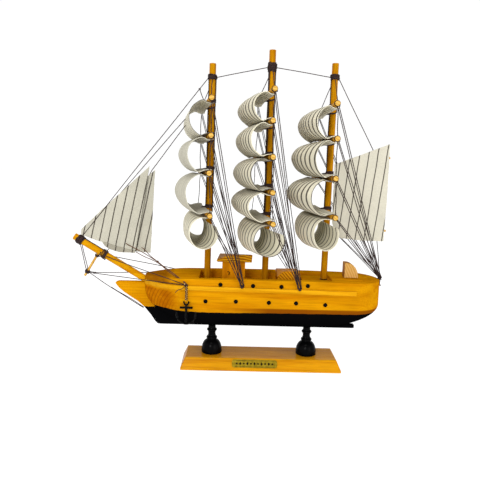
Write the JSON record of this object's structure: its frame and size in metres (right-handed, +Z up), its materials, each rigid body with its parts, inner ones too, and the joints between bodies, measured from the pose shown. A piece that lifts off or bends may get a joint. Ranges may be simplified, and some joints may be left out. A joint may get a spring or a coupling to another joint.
{
  "type": "model sailing ship",
  "caption": "Wooden display model of a square-rigged sailing ship with striped cloth sails, thread rigging and hanging anchors, on a stand with turned posts.",
  "frame": {"origin": "middle of the stand base's underside", "axes": "+X towards the stern, +Y to starboard, +Z up; the bowsprit points to -X"},
  "size_m": [0.3151, 0.1206, 0.3153],
  "materials": {
    "stand_wood": "gloss",
    "name_plate": "satin",
    "stand_posts": "gloss black paint",
    "hull_wood": "clear varnish above, gloss black paint below",
    "keel_wood": "clear varnish above, gloss black paint below",
    "wale_wood": "satin",
    "deck_wood": "satin",
    "pale_end_grain": "satin",
    "mast_wood": "satin",
    "yard_wood": "satin",
    "square_sails": "matte",
    "fore_and_aft_sails": "matte",
    "chain_brass": "satin",
    "anchor_iron": "satin black",
    "rigging_thread": "matte"
  },
  "bodies": {
    "ship": {"boom": "mast_wood", "bow_rigging": "rigging_thread", "bowsprit": "mast_wood", "cabin_body": "deck_wood", "cabin_roof": "deck_wood", "dolphin_striker": "mast_wood", "fore_mast": "mast_wood", "fore_rigging_port": "rigging_thread", "fore_rigging_starboard": "rigging_thread", "fore_sail_1": "square_sails", "fore_sail_2": "square_sails", "fore_sail_3": "square_sails", "fore_sail_4": "square_sails", "fore_yard_1": "yard_wood", "fore_yard_2": "yard_wood", "fore_yard_3": "yard_wood", "fore_yard_4": "yard_wood", "gaff": "mast_wood", "hatch_block": "deck_wood", "hull": "hull_wood", "jib_inner": "fore_and_aft_sails", "jib_outer": "fore_and_aft_sails", "keel_board": "keel_wood", "main_mast": "mast_wood", "main_rigging_port": "rigging_thread", "main_rigging_starboard": "rigging_thread", "main_sail_1": "square_sails", "main_sail_2": "square_sails", "main_sail_3": "square_sails", "main_sail_4": "square_sails", "main_sail_5": "square_sails", "main_yard_1": "yard_wood", "main_yard_2": "yard_wood", "main_yard_3": "yard_wood", "main_yard_4": "yard_wood", "main_yard_5": "yard_wood", "mizzen_mast": "mast_wood", "mizzen_rigging": "rigging_thread", "mizzen_sail_1": "square_sails", "mizzen_sail_2": "square_sails", "mizzen_sail_3": "square_sails", "mizzen_sail_4": "square_sails", "mizzen_yard_1": "yard_wood", "mizzen_yard_2": "yard_wood", "mizzen_yard_3": "yard_wood", "mizzen_yard_4": "yard_wood", "nameplate": "name_plate", "spanker": "fore_and_aft_sails", "stand_base": "stand_wood", "stand_post_aft": "stand_posts", "stand_post_fore": "stand_posts", "stern_block": "pale_end_grain", "topmast_stays": "rigging_thread", "wale_port": "wale_wood", "wale_starboard": "wale_wood"},
    "chain_port": {"anchor_chain_port": "chain_brass"},
    "chain_starboard": {"anchor_chain_starboard": "chain_brass"},
    "anchor_port": {"anchor_port": "anchor_iron"},
    "anchor_starboard": {"anchor_starboard": "anchor_iron"}
  },
  "joints": [
    {"name": "chain_port_swing", "type": "hinge", "parent": "ship", "child": "chain_port", "pos_m": [-0.075, -0.0305, 0.0892], "axis": [0, 1, 0], "range_deg": [-50, 50]},
    {"name": "anchor_port_swing", "type": "hinge", "parent": "chain_port", "child": "anchor_port", "pos_m": [-0.075, -0.0305, 0.0748], "axis": [0, 1, 0], "range_deg": [-60, 60]},
    {"name": "chain_starboard_swing", "type": "hinge", "parent": "ship", "child": "chain_starboard", "pos_m": [-0.075, 0.0305, 0.0892], "axis": [0, 1, 0], "range_deg": [-50, 50]},
    {"name": "anchor_starboard_swing", "type": "hinge", "parent": "chain_starboard", "child": "anchor_starboard", "pos_m": [-0.075, 0.0305, 0.0748], "axis": [0, 1, 0], "range_deg": [-60, 60]}
  ]
}
